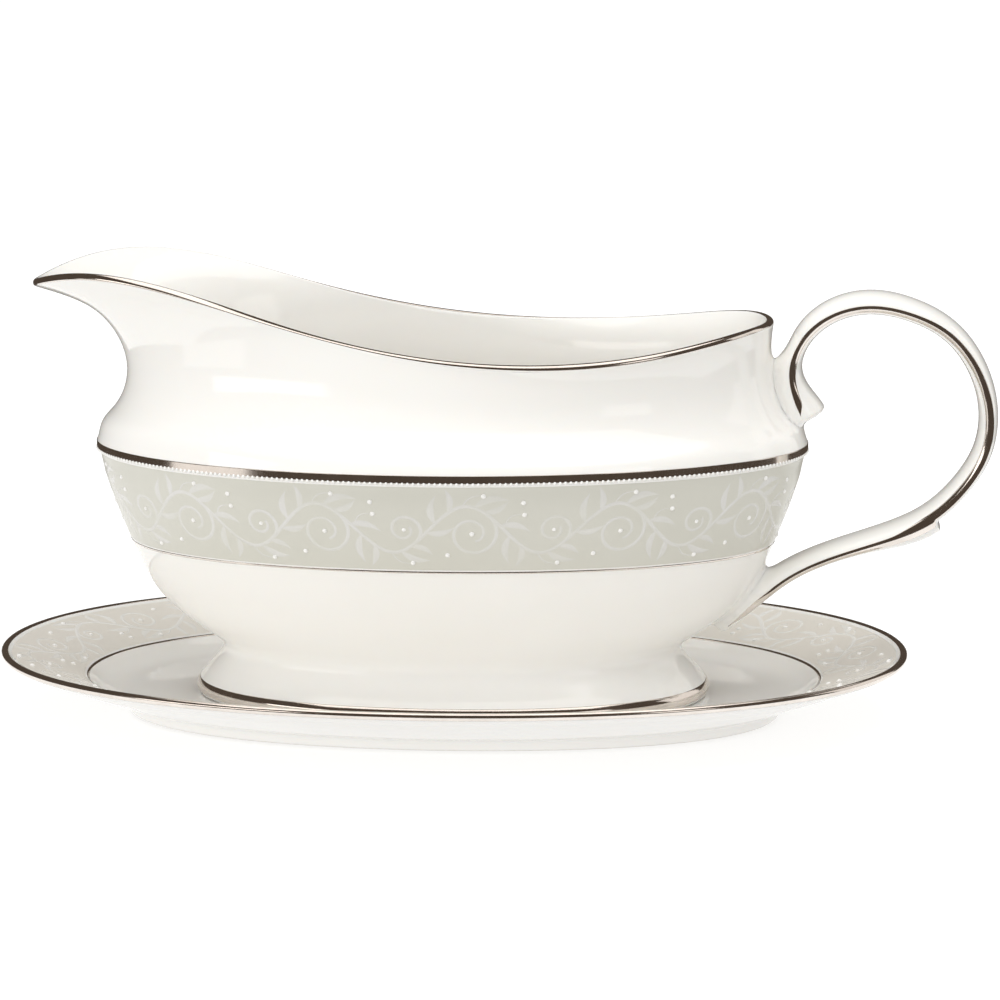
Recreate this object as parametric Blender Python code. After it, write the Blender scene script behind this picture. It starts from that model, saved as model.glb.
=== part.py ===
"""Footed sauce boat with a loop handle, standing on its oval china stand.

White glazed china with fired-on platinum and an ivory enamel border.
+X is the handle end, +Y the left side seen from the handle, +Z up.
Each fired-on layer is a thin skin just off the china, as its own object.
"""

import bpy
import numpy as np

MM = 0.001

# Driving sizes, in mm, measured from the centre of the stand.
CENTRE_X = -10.583         # stand centre in the frame, so the frame sits mid length
AROUND_BOAT = 44           # points round each level of the boat
AROUND_STAND = 48          # points round each level of the stand
CLEARANCE = 0.12           # between neighbouring solids
SKIN = 0.25                # thickness a fired-on layer is drawn with
WALL = 3.0                 # china wall of the boat

# Belly of the boat: height, half length, half width, squareness of each level.
BELLY = (
    (17.85, 58.3, 33.5, 0.030),
    (30.0, 73.0, 39.6, 0.020),
    (45.1, 81.4, 45.5, 0.012),
    (58.0, 86.3, 50.2, 0.004),
    (70.1, 89.6, 54.0, -0.006),
)
SHOULDER_Z = 70.1
WAIST_Z = (17.85, 19.6, 22.5, 26.5, 31.5, 37.5)      # plain levels under the border
BORDER_MID_Z = (50.8, 56.4, 61.9)                    # levels within the border
LINE_Z = (44.7, 45.5)          # thin platinum line under the border
BORDER_Z = (45.8, 67.4)        # ivory border with the scroll relief
BEADS_Z = (67.7, 68.5)         # row of tiny beads
SHOULDER_BAND_Z = (68.8, 70.1) # platinum shoulder band

# Neck, shoulder to rim: step, share of the height, half length, half width, share of the rim.
NECK = (
    (0.00, 0.000, 89.6, 54.0, 0.00),
    (0.10, 0.085, 88.8, 53.2, 0.00),
    (0.25, 0.205, 85.4, 49.9, 0.00),
    (0.42, 0.360, 82.2, 46.4, 0.00),
    (0.58, 0.520, 80.6, 44.4, 0.05),
    (0.76, 0.720, 80.0, 43.5, 0.20),
    (0.89, 0.870, 80.0, 43.2, 0.45),
    (1.00, 1.000, 80.0, 43.2, 1.00),
)

# Rim, at every 30 degrees from the handle end round to the tip of the spout.
RIM_BACK = 81.0
RIM_TIP = 105.2
RIM_BREADTH = (50.5, 48.2, 46.6, 43.9, 44.0, 52.8, 60.0)
RIM_HEIGHT = (101.0, 99.5, 95.2, 96.5, 107.0, 113.9, 108.4)
RIM_EDGE = 2.2                 # thickness of the rim itself
RIM_CROWN = 0.7                # rise of its rounded top
RIM_UNDER = 0.999              # neck step just under the rim, for the slope there
RIM_BAND_OUT = 1.8             # platinum over the rim, outside
RIM_BAND_IN = 1.2              # and inside

NECK_STEPS = (0.10, 0.25, 0.42, 0.58, 0.76, 0.88)    # levels drawn up the neck
INSIDE_STEPS = (0.82, 0.66, 0.48, 0.30, 0.12)        # and down inside it
INSIDE_Z = (67.0, 58.0, 46.0, 36.0, 29.5)            # then down inside the belly

FLOOR_Z = 21.6                 # inside floor of the boat
FLOOR_TURN = ((25.5, 6.6), (22.0, 9.5))              # wall rounding in to the floor: level, inset
FLOOR_LIP = 0.6                # rise of the floor where it meets that curve
FLOOR_SHARE = 0.6              # flat middle of the floor, as a share of its outline

# Hollow foot: height, half length, half width going down outside, then up inside.
FOOT_OUTSIDE = (
    (17.73, 58.3, 33.5),
    (16.2, 58.8, 33.9),
    (14.4, 60.1, 34.8),
    (12.4, 62.0, 36.2),
    (10.6, 63.5, 37.3),
    (9.9, 63.9, 37.7),
    (9.5, 64.2, 38.0),
    (8.0, 64.9, 38.7),
    (6.4, 65.2, 39.0),
    (5.75, 64.7, 38.5),
)
FOOT_INSIDE = (
    (5.75, 61.6, 35.5),
    (9.0, 59.0, 33.0),
    (13.0, 55.6, 30.6),
    (17.73, 54.6, 29.8),
)
FOOT_SQUARE = 0.032
FOOT_BAND = (6, 8)             # rows of FOOT_OUTSIDE under the platinum

# Stand, from the middle of the well over the rim to the middle underneath.
STAND = (
    (5.6, 42.0, 25.0),
    (5.6, 80.5, 47.0),
    (6.0, 86.5, 51.6),
    (7.4, 90.4, 54.8),
    (9.8, 92.8, 56.7),
    (10.3, 93.6, 57.4),
    (10.5, 94.1, 57.8),
    (13.4, 103.0, 65.2),
    (16.3, 111.6, 72.3),
    (16.5, 112.2, 72.8),
    (17.2, 114.2, 74.5),
    (16.6, 115.0, 75.2),
    (15.3, 114.5, 74.7),
    (11.0, 104.2, 65.6),
    (7.3, 94.0, 56.8),
    (4.7, 88.0, 50.5),
    (3.0, 83.8, 44.2),
    (0.0, 82.8, 43.2),
    (0.0, 80.0, 40.4),
    (2.3, 79.0, 39.4),
    (2.3, 40.0, 20.0),
)
STAND_SQUARE = 0.020
WELL_LINE_ROWS = (4, 5)
STAND_BORDER_ROWS = (6, 8)
STAND_BAND_ROWS = (9, 12)

# Handle: the line of its side edge, from the upper root over the loop to the lower root.
HANDLE_LINE = (
    (88.0, 77.4),
    (86.2, 82.4),
    (85.1, 88.6),
    (87.8, 96.8),
    (95.6, 103.4),
    (105.1, 105.5),
    (114.2, 104.0),
    (124.6, 98.8),
    (131.6, 90.2),
    (135.0, 79.5),
    (134.0, 69.0),
    (128.6, 59.6),
    (119.9, 51.6),
    (109.0, 46.6),
    (96.0, 42.1),
    (84.7, 36.5),
    (76.4, 29.6),
    (68.2, 22.4),
)
HANDLE_HALF_WIDTH = 7.6
# Share of the handle's length, how far its outer face and inner face stand beyond the edge.
HANDLE_DEPTH = (
    (0.00, 3.6, 2.6),
    (0.07, 3.9, 2.6),
    (0.086, 3.3, 2.6),
    (0.10, 2.4, 2.6),
    (0.125, 2.3, 2.6),
    (0.19, 3.0, 2.6),
    (0.36, 2.2, 2.8),
    (0.52, 1.3, 3.5),
    (0.66, 1.5, 3.3),
    (0.85, 1.6, 3.2),
    (0.94, 1.4, 3.7),
    (1.00, 1.1, 4.0),
)
HANDLE_STEPS = 54
TOE = 3.2                      # how much further the upper root comes out inside the loop
TOE_RUN = 9.0                  # mm over which the toe fades away
SPUR_X = 120.4                 # where the lower strap starts, with its small step
SPUR_Z = 52.2
SPUR = 2.6
SPUR_RUN = 15.0                # mm over which the step fades away
ROOT_TAPER = 30.0              # mm over which the lower root narrows
ROOT_WIDTH = 0.26              # share of the width left at its tip
SECTION = 12                   # points round the handle
STRIPE = 1                     # points each side of the edge under the platinum
STRIPE_FREE = (87.5, 94.5)     # the platinum runs where the handle is past this X or above this Z
STRIPE_SKIP = 3                # sections at the upper root left without a stripe


def clear_scene():
    for obj in list(bpy.data.objects):
        bpy.data.objects.remove(obj, do_unlink=True)


def make_material(name, colour, rough, metal=0.0):
    mat = bpy.data.materials.new(name)
    mat.use_nodes = True
    shader = mat.node_tree.nodes["Principled BSDF"]
    shader.inputs["Base Color"].default_value = (*colour, 1.0)
    shader.inputs["Roughness"].default_value = rough
    shader.inputs["Metallic"].default_value = metal
    return mat


def spline(knots, values, at):
    """Natural cubic spline through the values."""
    knots = np.asarray(knots, float)
    values = np.asarray(values, float)
    at = np.asarray(at, float)
    count = len(knots)
    gap = np.diff(knots)
    matrix = np.eye(count)
    right = np.zeros_like(values)
    for i in range(1, count - 1):
        matrix[i, i - 1:i + 2] = (gap[i - 1], 2 * (gap[i - 1] + gap[i]), gap[i])
        right[i] = 6 * ((values[i + 1] - values[i]) / gap[i] - (values[i] - values[i - 1]) / gap[i - 1])
    bend = np.linalg.solve(matrix, right)
    k = np.clip(np.searchsorted(knots, at) - 1, 0, count - 2)
    u = (at - knots[k]) / gap[k]
    h2 = gap[k] ** 2 / 6
    if values.ndim > 1:
        u = u[..., None]
        h2 = h2[..., None]
    start = (1 - u) * values[k] + h2 * ((1 - u) ** 3 - (1 - u)) * bend[k]
    return start + u * values[k + 1] + h2 * (u ** 3 - u) * bend[k + 1]


def round_series(values, angle):
    """Even smooth curve through values at evenly spaced angles, 0 to 180 degrees."""
    values = np.asarray(values, float)
    waves = np.arange(len(values))
    marks = np.pi * waves / (len(values) - 1)
    share = np.linalg.solve(np.cos(np.outer(marks, waves)), values)
    return np.cos(np.outer(angle, waves)) @ share


def oval(long, wide, square, height, angle):
    reach = 1 + square * np.sin(2 * angle) ** 2
    flat = np.full_like(angle, height)
    return np.stack([long * reach * np.cos(angle), wide * reach * np.sin(angle), flat], 1)


def rim_curve(angle):
    middle = (RIM_BACK + RIM_TIP) / 2
    lean = (RIM_TIP - RIM_BACK) / 2
    x = middle * np.cos(angle) - lean * np.cos(angle) ** 2
    y = np.sin(angle) * round_series(RIM_BREADTH, angle)
    return np.stack([x, y, round_series(RIM_HEIGHT, angle)], 1)


def belly_ring(height, angle):
    rows = np.array(BELLY)
    long, wide, square = spline(rows[:, 0], rows[:, 1:], np.array([height]))[0]
    return oval(long, wide, square, height, angle)


def neck_ring(step, angle):
    rows = np.array(NECK)
    rise, long, wide, share = spline(rows[:, 0], rows[:, 1:], np.array([step]))[0]
    share = max(share, 0.0)
    rim = rim_curve(angle)
    ring = oval(long, wide, BELLY[-1][3] * (1 - step), 0.0, angle)
    ring = (1 - share) * ring + share * rim
    ring[:, 2] = SHOULDER_Z + (rim[:, 2] - SHOULDER_Z) * rise
    return ring


def inward(rings, depth):
    """Each ring moved in by the depth, square to its own outline in plan."""
    moved = []
    for ring in rings:
        along = np.roll(ring, -1, 0) - np.roll(ring, 1, 0)
        side = np.stack([-along[:, 1], along[:, 0], np.zeros(len(ring))], 1)
        side /= np.linalg.norm(side, axis=1)[:, None]
        moved.append(ring + side * depth)
    return moved


def normals_of(rings):
    """Outward directions of a surface given as rings, row by row."""
    grid = np.array(rings)
    around = np.roll(grid, -1, 1) - np.roll(grid, 1, 1)
    along = np.gradient(grid, axis=0)
    out = np.cross(around, along)
    return out / np.linalg.norm(out, axis=2)[..., None]


def add_mesh(name, points, faces, material):
    points = np.asarray(points, float) * MM
    points[:, 0] += CENTRE_X * MM
    mesh = bpy.data.meshes.new(name)
    mesh.from_pydata(points.tolist(), [], faces)
    mesh.validate()
    mesh.materials.append(material)
    obj = bpy.data.objects.new(name, mesh)
    bpy.context.scene.collection.objects.link(obj)
    mesh.polygons.foreach_set("use_smooth", [True] * len(mesh.polygons))
    return obj


def ring_faces(rows, around, wrap):
    faces = []
    last = rows if wrap else rows - 1
    for r in range(last):
        low = r * around
        high = ((r + 1) % rows) * around
        for j in range(around):
            k = (j + 1) % around
            faces.append((low + j, low + k, high + k, high + j))
    return faces


def tube_solid(name, rings, material):
    """Closed loop of rings: a solid with a hole down the middle."""
    return add_mesh(name, np.concatenate(rings), ring_faces(len(rings), len(rings[0]), True), material)


def capped_solid(name, rings, first, last, material):
    """Rings closed at both ends by a point."""
    around = len(rings[0])
    points = np.concatenate(rings + [np.array([first, last], float)])
    faces = ring_faces(len(rings), around, False)
    start = len(rings) * around
    base = (len(rings) - 1) * around
    for j in range(around):
        k = (j + 1) % around
        faces.append((start, k, j))
        faces.append((start + 1, base + j, base + k))
    return add_mesh(name, points, faces, material)


def skin_solid(name, rings, first, last, material):
    """A fired-on layer over the rows first to last of a surface."""
    grid = np.array(rings)
    out = normals_of(rings)
    under = [grid[r] + CLEARANCE * out[r] for r in range(last, first - 1, -1)]
    over = [grid[r] + (CLEARANCE + SKIN) * out[r] for r in range(first, last + 1)]
    return tube_solid(name, under + over, material)


def build_bowl(china, platinum, enamel):
    angle = np.linspace(0, 2 * np.pi, AROUND_BOAT, endpoint=False)
    marked = [*LINE_Z, BORDER_Z[0], *BORDER_MID_Z, BORDER_Z[1], *BEADS_Z, *SHOULDER_BAND_Z]
    outside = [belly_ring(z, angle) for z in [*WAIST_Z, *marked]]
    outside += [neck_ring(step, angle) for step in NECK_STEPS]
    rim = neck_ring(1.0, angle)
    below = neck_ring(RIM_UNDER, angle) - rim
    below /= np.linalg.norm(below, axis=1)[:, None]
    outside += [rim + below * RIM_BAND_OUT, rim]
    crown = inward([rim], RIM_EDGE / 2)[0] + np.array([0, 0, RIM_CROWN])
    inner_rim = inward([rim], RIM_EDGE)[0]
    edge = [crown, inner_rim, inner_rim + below * RIM_BAND_IN]
    inside = inward([neck_ring(step, angle) for step in INSIDE_STEPS], WALL)
    for z in INSIDE_Z:
        slope = (belly_ring(z + 0.5, angle) - belly_ring(z - 0.5, angle))[0, 0]
        inside += inward([belly_ring(z, angle)], WALL * np.hypot(1, slope))
    for z, inset in FLOOR_TURN:
        inside += inward([belly_ring(z, angle)], inset)
    inside[-1][:, 2] = FLOOR_Z + FLOOR_LIP
    middle = inside[-1] * FLOOR_SHARE
    middle[:, 2] = FLOOR_Z
    rings = outside + edge + inside + [middle]
    capped_solid("boat_bowl", rings, (0, 0, WAIST_Z[0]), (0, 0, FLOOR_Z), china)
    row = len(WAIST_Z)
    skin_solid("boat_border_line", outside, row, row + 1, platinum)
    skin_solid("boat_border_band", outside, row + 2, row + 6, enamel)
    skin_solid("boat_bead_border", outside, row + 7, row + 8, china)
    skin_solid("boat_shoulder_band", outside, row + 9, row + 10, platinum)
    skin_solid("boat_rim_band", outside[-2:] + edge, 0, 4, platinum)
    return outside


def build_foot(china, platinum):
    angle = np.linspace(0, 2 * np.pi, AROUND_BOAT, endpoint=False)
    outside = [oval(a, b, FOOT_SQUARE, z, angle) for z, a, b in FOOT_OUTSIDE[::-1]]
    inside = [oval(a, b, FOOT_SQUARE, z, angle) for z, a, b in FOOT_INSIDE[::-1]]
    tube_solid("boat_foot", outside + inside, china)
    rows = len(FOOT_OUTSIDE) - 1
    skin_solid("boat_foot_band", outside, rows - FOOT_BAND[1], rows - FOOT_BAND[0], platinum)


def build_stand(china, platinum, enamel):
    angle = np.linspace(0, 2 * np.pi, AROUND_STAND, endpoint=False)
    rings = [oval(a, b, STAND_SQUARE, z, angle) for z, a, b in STAND]
    rings = rings[::-1]
    capped_solid("stand_plate", rings, (0, 0, STAND[-1][0]), (0, 0, STAND[0][0]), china)
    last = len(STAND) - 1
    layers = (
        ("stand_well_line", WELL_LINE_ROWS, platinum),
        ("stand_border_band", STAND_BORDER_ROWS, enamel),
        ("stand_rim_band", STAND_BAND_ROWS, platinum),
    )
    for name, rows, material in layers:
        skin_solid(name, rings, last - rows[1], last - rows[0], material)


def handle_sections():
    """Sections of the handle along its line, each a ring of points."""
    line = np.array(HANDLE_LINE)
    run = np.concatenate([[0], np.cumsum(np.linalg.norm(np.diff(line, axis=0), axis=1))])
    at = np.linspace(0, run[-1], HANDLE_STEPS)
    path = spline(run, line, at)
    ahead = spline(run, line, at + 0.05) - spline(run, line, at - 0.05)
    ahead /= np.linalg.norm(ahead, axis=1)[:, None]
    out = np.stack([-ahead[:, 1], ahead[:, 0]], 1)
    spur_at = at[np.argmin(np.hypot(path[:, 0] - SPUR_X, path[:, 1] - SPUR_Z))]
    turn = 2 * np.pi * np.arange(SECTION) / SECTION
    depth_rows = np.array(HANDLE_DEPTH)
    depths = spline(depth_rows[:, 0], depth_rows[:, 1:], at / run[-1])
    sections = []
    for s, p, n, (outer, inner) in zip(at, path, out, depths):
        width = HANDLE_HALF_WIDTH
        left = run[-1] - s
        if left < ROOT_TAPER:
            width *= ROOT_WIDTH + (1 - ROOT_WIDTH) * np.sin(0.5 * np.pi * left / ROOT_TAPER)
        step = SPUR * np.exp(-((s - spur_at) / SPUR_RUN) ** 2) if s >= spur_at else 0.0
        toe = TOE * np.exp(-(s / TOE_RUN) ** 2)
        crown = np.where(np.sin(turn) > 0, outer + step, inner + toe)
        across = width * np.cos(turn)
        deep = crown * np.sin(turn)
        sections.append(np.stack([p[0] + deep * n[0], across, p[1] + deep * n[1]], 1))
    return sections, path


def stripe_patch(name, sections, first, last, columns, material):
    """Thin layer over part of the handle, closed all round."""
    grid = np.array(sections)
    out = normals_of(sections)
    rows = range(first, last + 1)
    under = np.array([[grid[r, c] + CLEARANCE * out[r, c] for c in columns] for r in rows])
    over = np.array([[grid[r, c] + (CLEARANCE + SKIN) * out[r, c] for c in columns] for r in rows])
    wide = len(columns)
    long = len(under)
    points = np.concatenate([under.reshape(-1, 3), over.reshape(-1, 3)])
    lift = wide * long
    faces = []
    for r in range(long - 1):
        for c in range(wide - 1):
            a = r * wide + c
            faces.append((a, a + wide, a + wide + 1, a + 1))
            faces.append((lift + a, lift + a + 1, lift + a + wide + 1, lift + a + wide))
    loop = list(range(wide))
    loop += [r * wide + wide - 1 for r in range(1, long)]
    loop += [(long - 1) * wide + c for c in range(wide - 2, -1, -1)]
    loop += [r * wide for r in range(long - 2, 0, -1)]
    for i, a in enumerate(loop):
        b = loop[(i + 1) % len(loop)]
        faces.append((a, b, lift + b, lift + a))
    return add_mesh(name, points, faces, material)


def build_handle(china, platinum, outside):
    sections, path = handle_sections()
    first = (path[0, 0], 0, path[0, 1])
    last = (path[-1, 0], 0, path[-1, 1])
    handle = capped_solid("boat_handle", sections, first, last, china)
    grid = np.array(outside)
    out = normals_of(outside)
    grown = list(grid + 2 * CLEARANCE * out)
    low = grown[0] - np.array([0, 0, WALL])
    cutter = capped_solid("cut_bowl", [low] + grown, (0, 0, low[0, 2]), (0, 0, RIM_HEIGHT[0]), china)
    cutter.hide_render = True
    cutter.display_type = "WIRE"
    cut = handle.modifiers.new("meet_bowl", "BOOLEAN")
    cut.operation = "DIFFERENCE"
    cut.solver = "EXACT"
    cut.object = cutter
    free = [i for i, (x, z) in enumerate(path) if z > STRIPE_FREE[1] or (x > STRIPE_FREE[0] and i > STRIPE_SKIP)]
    for side, centre in (("left", 0), ("right", SECTION // 2)):
        columns = [(centre + c) % SECTION for c in range(-STRIPE, STRIPE + 1)]
        stripe_patch(f"handle_stripe_{side}", sections, free[0], free[-1], columns, platinum)


clear_scene()
china_white = make_material("glazed_china", (0.92, 0.91, 0.88), 0.08)
platinum_band = make_material("platinum", (0.78, 0.76, 0.73), 0.12, 1.0)
ivory_enamel = make_material("ivory_enamel", (0.66, 0.64, 0.57), 0.35)
bowl_outside = build_bowl(china_white, platinum_band, ivory_enamel)
build_foot(china_white, platinum_band)
build_handle(china_white, platinum_band, bowl_outside)
build_stand(china_white, platinum_band, ivory_enamel)
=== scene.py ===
"""Looks for the china sauce boat on its oval stand.

Every surface is worked out from the same ovals, rim and handle line as the CAD,
with the stand's box from the frame giving the place and the scale.
"""

import math

import bpy
import numpy as np
from mathutils import Matrix, Vector
from mathutils.bvhtree import BVHTree


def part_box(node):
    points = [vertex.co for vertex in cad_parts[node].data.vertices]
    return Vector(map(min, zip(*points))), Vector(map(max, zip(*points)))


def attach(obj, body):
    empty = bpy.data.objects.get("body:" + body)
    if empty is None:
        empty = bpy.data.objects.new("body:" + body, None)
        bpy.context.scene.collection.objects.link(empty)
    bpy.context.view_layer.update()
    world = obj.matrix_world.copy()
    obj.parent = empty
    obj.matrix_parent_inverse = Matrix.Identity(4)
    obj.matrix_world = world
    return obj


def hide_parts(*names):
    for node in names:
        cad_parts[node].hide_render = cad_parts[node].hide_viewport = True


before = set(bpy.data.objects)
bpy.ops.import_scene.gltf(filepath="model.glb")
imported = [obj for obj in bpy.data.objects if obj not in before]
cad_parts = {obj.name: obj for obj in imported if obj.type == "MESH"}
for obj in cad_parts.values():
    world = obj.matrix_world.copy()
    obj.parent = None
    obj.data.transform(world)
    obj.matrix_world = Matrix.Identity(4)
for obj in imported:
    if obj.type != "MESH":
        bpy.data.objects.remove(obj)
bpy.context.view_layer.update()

# ---------------------------------------------------------------- sizes, in mm
STAND_LENGTH = 230.0
low_corner, high_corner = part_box("stand_plate")
UNIT = (high_corner.x - low_corner.x) / STAND_LENGTH
CENTRE = (low_corner + high_corner) / 2
CENTRE.z = low_corner.z

AROUND = 448               # columns round the boat
ROWS = 230                 # rows from foot to rim
AROUND_STAND = 448
ROWS_STAND = 420
WALL = 3.0
LIP = 2.1                  # thickness of the rim
LIP_ROWS = 13
WALL_THINS = 0.75          # share of the rows where the wall starts to thin to the lip
INSIDE_TOP = 0.985         # and where the inside wall gives way to the lip
RIM_BAND = (0.35, 2.55)    # platinum over the rim, as turns in radians round the lip
LAYER = 0.05               # how far fired-on layers stand off the glaze
GROUND_LAYER = 0.03        # and the ivory ground
LAYER_DEPTH = 0.12         # how far a layer reaches in under the glaze
LAYER_TUCK = 0.02          # how far its edges dip below the glaze

# Foot and waist: height, half length, half width.
FOOT = (
    (5.95, 64.7, 38.5),
    (6.8, 65.1, 38.9),
    (8.0, 65.2, 39.0),
    (8.8, 64.9, 38.7),
    (9.6, 64.3, 38.1),
    (10.5, 63.5, 37.3),
    (12.6, 61.7, 35.9),
    (14.7, 59.8, 34.6),
    (16.5, 58.6, 33.8),
    (17.9, 58.3, 33.6),
    (19.3, 59.0, 33.9),
    (21.4, 61.7, 34.9),
    (25.2, 67.2, 37.0),
)
FOOT_SQUARE = 0.032
# Hollow under the foot, from its middle out to the resting edge.
FOOT_UNDER = (
    (16.9, 8.0, 4.4),
    (16.8, 30.0, 16.5),
    (16.2, 46.0, 25.6),
    (14.9, 53.4, 29.0),
    (12.6, 56.6, 31.2),
    (9.4, 59.2, 33.2),
    (6.7, 61.2, 35.1),
    (5.85, 62.1, 36.0),
    (5.75, 63.2, 37.0),
    (5.8, 64.2, 38.0),
)
UNDER_ROWS = 44
BARE_FOOT_Z = 5.95         # the foot is unglazed below this
# Bottom of the bowl inside, from the wall in to the middle.
INNER_FLOOR = (
    (22.8, 53.0, 29.0),
    (21.6, 40.0, 22.0),
    (21.3, 24.0, 13.0),
    (21.2, 8.0, 4.4),
)
FLOOR_SQUARE = 0.02
FLOOR_ROWS = 40
FLOOR_OVERLAP = 8          # rows of the wall that the floor's curve starts on
FLOOR_SKIP = 10            # rows of that curve which repeat the wall
FLOOR_FROM_Z = 26.0        # the inside wall ends here
# Belly: height, half length, half width, squareness.
BELLY = (
    (17.85, 58.3, 33.5, 0.030),
    (30.0, 73.0, 39.6, 0.020),
    (45.1, 81.4, 45.5, 0.012),
    (58.0, 86.3, 50.2, 0.004),
    (70.1, 89.6, 54.0, -0.006),
)
BELLY_LEVELS = (30.0, 37.5, 45.1, 52.0, 58.0, 63.5, 67.5)
SHOULDER = ((69.4, 89.65, 54.0), (71.0, 89.3, 53.7))
SHOULDER_Z = 70.1
# Neck: step, share of the height, half length, half width, share of the rim.
NECK = (
    (0.00, 0.000, 89.6, 54.0, 0.00),
    (0.10, 0.085, 88.8, 53.2, 0.00),
    (0.25, 0.205, 85.4, 49.9, 0.00),
    (0.42, 0.360, 82.2, 46.4, 0.00),
    (0.58, 0.520, 80.6, 44.4, 0.05),
    (0.76, 0.720, 80.0, 43.5, 0.20),
    (0.89, 0.870, 80.0, 43.2, 0.45),
    (1.00, 1.000, 80.0, 43.2, 1.00),
)
RIM_BACK = 81.0
RIM_TIP = 105.2
RIM_BREADTH = (50.5, 48.2, 46.6, 43.9, 44.0, 52.8, 60.0)
RIM_HEIGHT = (101.0, 99.5, 95.2, 96.5, 107.0, 113.2, 108.8)

# Bands up the boat, by height.
LINE_Z = (44.8, 45.35)
BORDER_Z = (45.5, 67.5)
BEAD_Z = 68.3
BEAD_PITCH = 1.3
BEAD_RADIUS = 0.5
BEAD_TALL = 1.15           # height of a bead over its radius
SHOULDER_BAND_Z = (68.3, 70.25)
LINE_UPRIGHT = 0.6         # how upright the line under the border stands, 1 for straight up
FOOT_BAND_Z = (6.35, 9.6)

# Stand: height, half length, half width, from the well to the edge and back under.
STAND_TOP = (
    (5.6, 30.0, 17.0),
    (5.6, 60.0, 34.5),
    (5.65, 74.0, 43.0),
    (5.85, 82.0, 48.4),
    (6.5, 87.0, 52.1),
    (7.9, 90.4, 54.8),
    (9.5, 92.6, 56.6),
    (10.7, 94.8, 58.4),
    (12.2, 99.2, 62.0),
    (13.9, 104.4, 66.3),
    (15.6, 109.6, 70.6),
    (16.7, 112.9, 73.3),
    (17.15, 114.3, 74.6),
)
STAND_UNDER = (
    (16.55, 115.0, 75.2),
    (15.7, 114.85, 75.05),
    (15.05, 114.0, 74.3),
    (13.5, 110.2, 70.9),
    (11.2, 104.6, 65.9),
    (8.9, 98.6, 60.5),
    (6.9, 93.4, 55.9),
    (5.2, 89.2, 51.8),
    (3.9, 85.8, 47.0),
    (2.6, 83.6, 44.1),
    (1.0, 82.9, 43.3),
    (0.2, 82.3, 42.7),
    (0.0, 81.4, 41.8),
    (0.2, 80.5, 40.9),
    (1.2, 79.7, 40.1),
    (2.1, 77.5, 38.4),
    (2.35, 70.0, 33.0),
    (2.4, 35.0, 16.0),
)
STAND_SQUARE = 0.020
STAND_LINE_A = (92.75, 93.5)       # by half length
STAND_BORDER_A = (93.8, 112.4)
STAND_BAND_A = 112.7              # the rim's platinum starts here on top
STAND_BAND_Z = 15.2               # and ends at this height underneath
BARE_STAND_Z = 0.35               # the foot ring is unglazed below this height
BARE_STAND_A = 79.0               # and beyond this half length

# Handle line in the plane of symmetry, from the upper toe to the lower root.
HANDLE_LINE = (
    (88.9, 75.8),
    (86.2, 82.4),
    (85.1, 88.6),
    (87.8, 96.8),
    (95.6, 103.4),
    (105.1, 105.5),
    (114.2, 104.0),
    (124.6, 98.8),
    (131.6, 90.2),
    (135.0, 79.5),
    (134.0, 69.0),
    (128.6, 59.6),
    (119.9, 51.6),
    (109.0, 46.6),
    (96.0, 42.1),
    (84.7, 36.5),
    (76.4, 29.6),
    (68.2, 21.9),
)
HANDLE_HALF_WIDTH = 7.6
# Share of the length, outer crown, inner crown.
HANDLE_DEPTH = (
    (0.00, 3.6, 2.6),
    (0.07, 3.9, 2.6),
    (0.086, 3.3, 2.6),
    (0.10, 2.4, 2.6),
    (0.125, 2.3, 2.6),
    (0.19, 3.0, 2.6),
    (0.36, 2.2, 2.8),
    (0.52, 1.3, 3.5),
    (0.66, 1.5, 3.3),
    (0.85, 1.6, 3.2),
    (0.94, 1.4, 3.9),
    (1.00, 1.1, 4.4),
)
EDGE_OUT = 0.24                    # platinum over the edge, mm of depth outward
EDGE_IN = 1.6                      # and inward
EDGE_WEDGE = 1.5                   # wider where the lower strap starts
EDGE_WEDGE_RUN = 11.0
STRAP_OUT = 0.95                   # the same two widths on the lower strap
STRAP_IN = 0.5
STRAP_RUN = 12.0
TOE = 3.2                          # how much further the toe comes out inside
TOE_RUN = 9.0
SPUR_X = 120.4
SPUR_Z = 52.2
SPUR = 2.6
SPUR_RUN = 15.0
SPUR_FACE = 1.2                    # length of the spur's steep face
UPPER_END = 1.6                    # mm over which each end of the handle rounds off
LOWER_END = 5.0
OUTER_ROUND = 2.15                 # 2 makes half an ellipse, more makes squarer shoulders
INNER_ROUND = 2.5
ROOT_TAPER = 18.0
ROOT_WIDTH = 0.2
HANDLE_ROWS = 420
SECTION = 112
FILLET = 3.8                       # blend between the upper root and the bowl
LOW_FILLET = 4.0                   # and between the lower strap and the bowl
UPPER_ROOT_Z = 60.0                # the upper root is above this
SINK = 0.45                        # how far a surface dives once inside the other
MELT_STEPS = 9
MELT_MOVE = 1.0
ROOTS_X = 98.0                     # the handle near the bowl, and the bowl near the handle
ROOT_WALL_X = 55.0
ROOT_WALL_Y = 16.0
EDGE_ENDS = (5, 6)                 # rows of the handle left bare at each end

VINE_PITCH = 36.0                  # mm of border to each repeat
STEM = 0.50                        # half width of a raised stem
STEM_HEIGHT = 0.055
LEAF_HEIGHT = 0.048
DOT = 0.62                         # radius of a raised dot


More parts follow.
